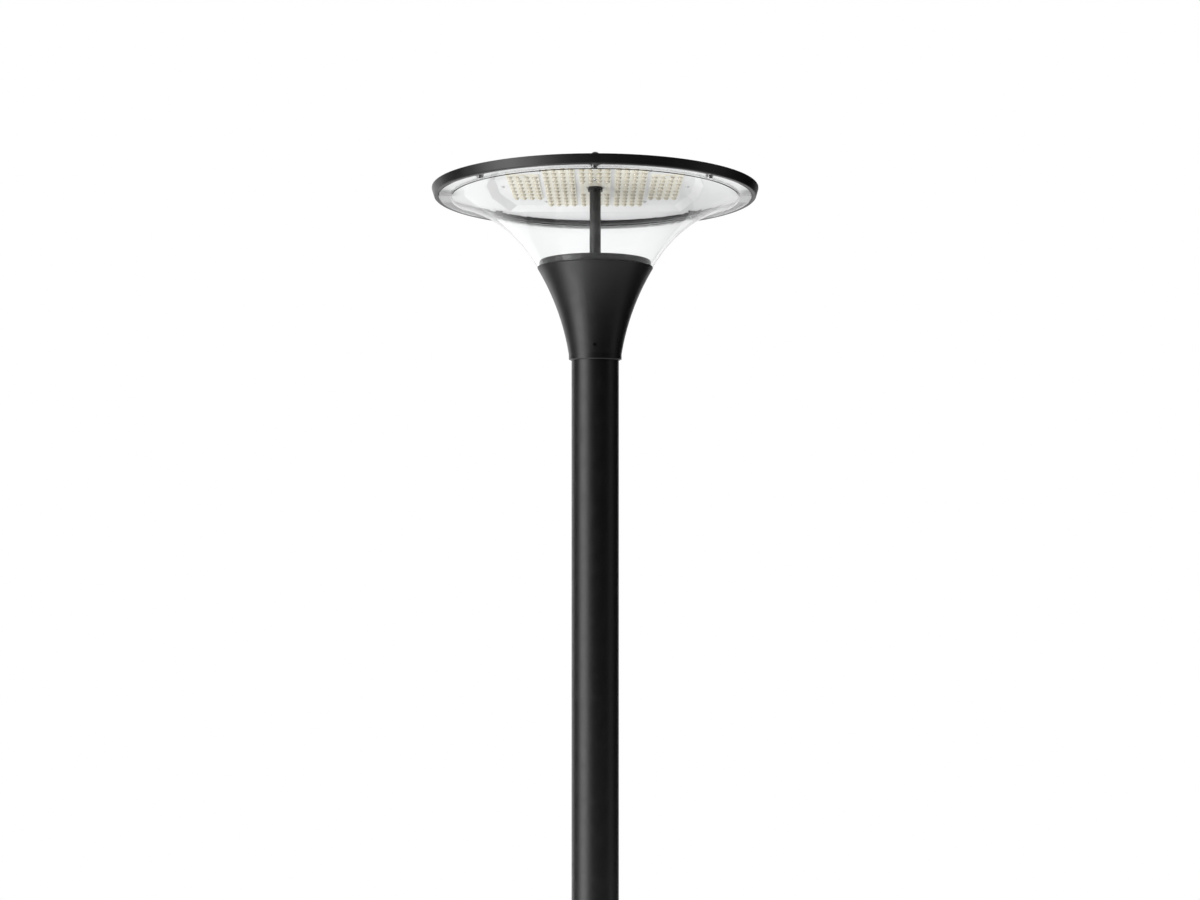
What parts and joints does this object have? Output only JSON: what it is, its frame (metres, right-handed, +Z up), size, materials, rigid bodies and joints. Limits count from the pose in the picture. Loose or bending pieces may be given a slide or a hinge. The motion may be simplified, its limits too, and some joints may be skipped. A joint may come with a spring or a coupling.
{
  "type": "garden post light",
  "caption": "Flat round LED head on a clear flared bell and trumpet neck, slipped over a plain tubular post with a square bolted base plate.",
  "frame": {"origin": "centre of the base plate's underside, at ground level", "axes": "+Z up the post, -Y the front with one neck set screw, the service door faces +Y"},
  "size_m": [0.52, 0.52, 3.2749],
  "materials": {
    "post_coat": "satin powder coat",
    "head_coat": "satin powder coat",
    "zinc_steel": "zinc plated",
    "stainless": "machined",
    "dark_screw": "blackened",
    "gasket": "matte",
    "clear_bell": "clear polished",
    "clip": "matte",
    "reflector_white": "gloss white",
    "led_board": "solder mask"
  },
  "bodies": {
    "root": {"base_plate": "post_coat", "post_tube": "post_coat", "door_strap": "zinc_steel", "service_door": "post_coat", "door_screw_lower": "stainless", "door_screw_upper": "stainless", "neck_casting": "head_coat", "set_screw_1": "dark_screw", "set_screw_2": "dark_screw", "set_screw_3": "dark_screw", "neck_gasket": "gasket", "neck_lid": "head_coat", "centre_stem": "head_coat", "stem_collar": "head_coat", "clear_bell": "clear_bell", "bell_screws": "stainless", "bell_clip_left": "clip", "bell_clip_right": "clip", "rim_ring": "head_coat", "reflector_plate": "reflector_white", "led_tray": "reflector_white", "led_board_1": "led_board", "led_board_2": "led_board", "led_board_3": "led_board", "led_board_4": "led_board", "led_board_5": "led_board", "top_cover": "head_coat", "top_washer": "stainless", "cap_nut": "head_coat"}
  },
  "joints": []
}
